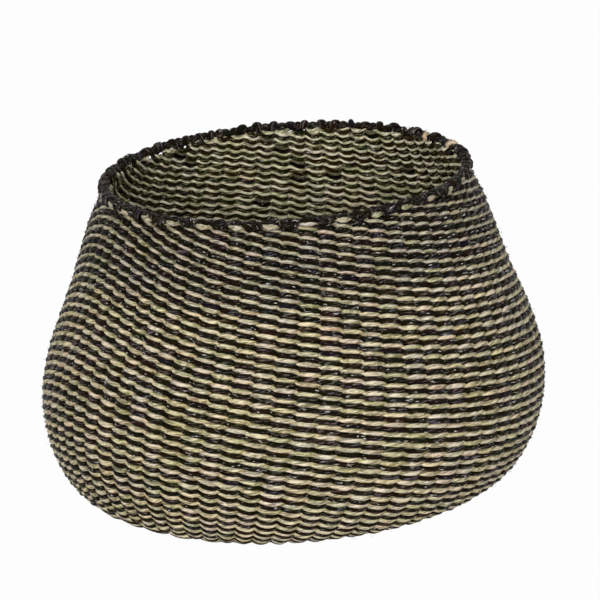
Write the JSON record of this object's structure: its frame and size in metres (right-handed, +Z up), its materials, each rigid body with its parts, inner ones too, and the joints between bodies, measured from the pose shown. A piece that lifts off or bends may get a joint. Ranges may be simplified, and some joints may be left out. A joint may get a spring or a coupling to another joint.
{
  "type": "planter basket",
  "caption": "Round twined grass basket with a flat base, wide belly, climbing stripes and a folded border, to hold a potted plant.",
  "frame": {"origin": "centre of the belly's plan, on the surface that the basket stands on", "axes": "+Z up through the mouth, -Y towards the viewer in the picture, +X to the picture's right"},
  "size_m": [0.3608, 0.3617, 0.2256],
  "materials": {
    "natural_grass": "dry twisted straw-coloured grass, matte with a faint sheen",
    "black_grass": "dyed black twisted grass, slightly glossy"
  },
  "bodies": {
    "root": {"base_start": "natural_grass", "black_short_row_01": "black_grass", "black_short_row_02": "black_grass", "black_short_row_03": "black_grass", "black_short_row_04": "black_grass", "black_short_row_05": "black_grass", "black_short_row_06": "black_grass", "black_short_row_07": "black_grass", "black_short_row_08": "black_grass", "black_short_row_09": "black_grass", "black_short_row_10": "black_grass", "black_short_row_11": "black_grass", "black_short_row_12": "black_grass", "black_short_row_13": "black_grass", "black_short_row_14": "black_grass", "black_short_row_15": "black_grass", "black_short_row_16": "black_grass", "black_short_row_17": "black_grass", "black_weft_01": "black_grass", "black_weft_02": "black_grass", "black_weft_03": "black_grass", "black_weft_04": "black_grass", "black_weft_05": "black_grass", "black_weft_06": "black_grass", "black_weft_07": "black_grass", "black_weft_08": "black_grass", "black_weft_09": "black_grass", "black_weft_10": "black_grass", "border": "black_grass", "natural_short_row_01": "natural_grass", "natural_short_row_02": "natural_grass", "natural_short_row_03": "natural_grass", "natural_short_row_04": "natural_grass", "natural_short_row_05": "natural_grass", "natural_short_row_06": "natural_grass", "natural_short_row_07": "natural_grass", "natural_short_row_08": "natural_grass", "natural_short_row_09": "natural_grass", "natural_short_row_10": "natural_grass", "natural_short_row_11": "natural_grass", "natural_short_row_12": "natural_grass", "natural_short_row_13": "natural_grass", "natural_short_row_14": "natural_grass", "natural_short_row_15": "natural_grass", "natural_short_row_16": "natural_grass", "natural_short_row_17": "natural_grass", "natural_weft_01": "natural_grass", "natural_weft_02": "natural_grass", "natural_weft_03": "natural_grass", "natural_weft_04": "natural_grass", "natural_weft_05": "natural_grass", "natural_weft_06": "natural_grass", "natural_weft_07": "natural_grass", "natural_weft_08": "natural_grass", "natural_weft_09": "natural_grass", "natural_weft_10": "natural_grass"}
  },
  "joints": []
}
